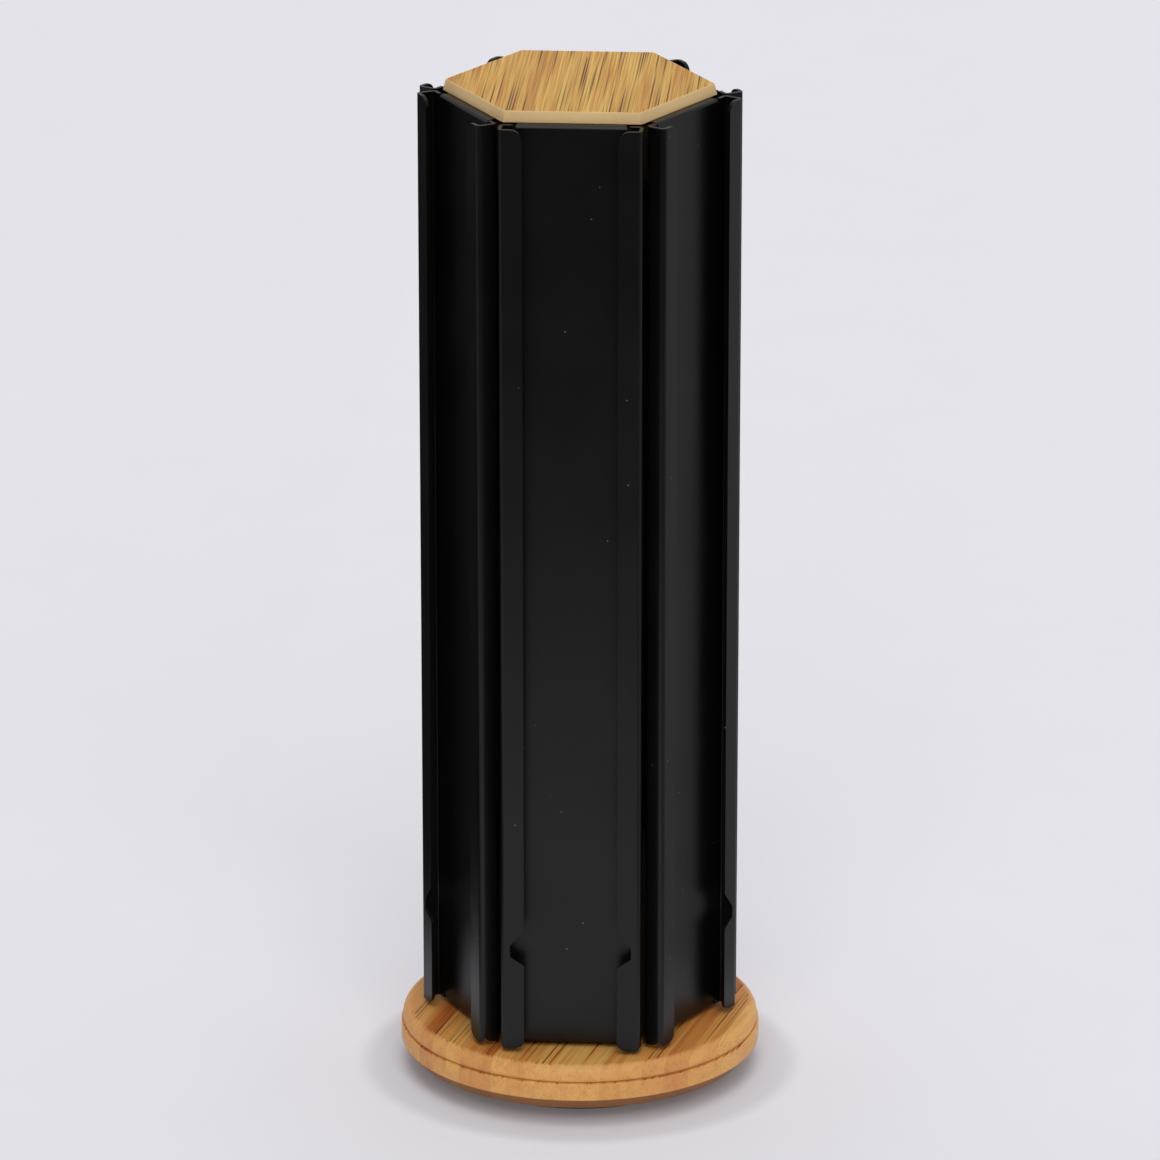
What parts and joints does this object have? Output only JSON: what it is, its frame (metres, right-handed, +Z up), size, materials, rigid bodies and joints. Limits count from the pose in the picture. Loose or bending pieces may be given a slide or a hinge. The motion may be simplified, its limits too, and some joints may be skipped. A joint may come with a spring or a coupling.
{
  "type": "revolving capsule dispenser",
  "caption": "Hexagonal column of bent-steel capsule channels with a bamboo cap, turning on a round bamboo base over a hidden ball-bearing turntable.",
  "frame": {"origin": "on the floor under the column's axis, at the middle of the foot ring's underside", "axes": "+Z up along the turning axis; the first channel faces -Y, so one channel faces the viewer and one faces straight back"},
  "size_m": [0.1224, 0.1224, 0.3467],
  "materials": {
    "black_powder_coat": "satin powder coat on bent steel sheet",
    "bamboo_cap": "sanded bamboo with a clear matt oil",
    "bamboo_base": "laminated bamboo with a clear satin lacquer",
    "block_wood": "sawn, unfinished",
    "zinc_plate": "zinc plated pressing",
    "rivet_steel": "plain steel",
    "ball_steel": "polished bearing steel",
    "cage_nylon": "moulded nylon",
    "screw_steel": "zinc plated",
    "foot_rubber": "matt moulded rubber"
  },
  "bodies": {
    "stand": {"foot_ring": "foot_rubber", "turntable_lower_plate": "zinc_plate", "centre_rivet": "rivet_steel"},
    "cage": {"ball_cage": "cage_nylon", "bearing_balls": "ball_steel"},
    "carousel": {"channel_1": "black_powder_coat", "channel_2": "black_powder_coat", "channel_3": "black_powder_coat", "channel_4": "black_powder_coat", "channel_5": "black_powder_coat", "channel_6": "black_powder_coat", "cap": "bamboo_cap", "base_disc": "bamboo_base", "top_block": "block_wood", "foot_block": "block_wood", "packing_disc": "block_wood", "turntable_upper_plate": "zinc_plate", "top_tab_screws": "screw_steel", "foot_tab_screws": "screw_steel", "base_screws": "screw_steel", "plate_screws": "screw_steel"}
  },
  "joints": [
    {"name": "carousel_spin", "type": "hinge", "parent": "stand", "child": "carousel", "pos_m": [0, 0, 0.00445], "axis": [0, 0, 1], "continuous": true},
    {"name": "cage_spin", "type": "hinge", "parent": "stand", "child": "cage", "pos_m": [0, 0, 0.00445], "axis": [0, 0, 1], "continuous": true}
  ],
  "couplings": [
    {"joint": "cage_spin", "follows": "carousel_spin", "ratio": 0.5}
  ]
}
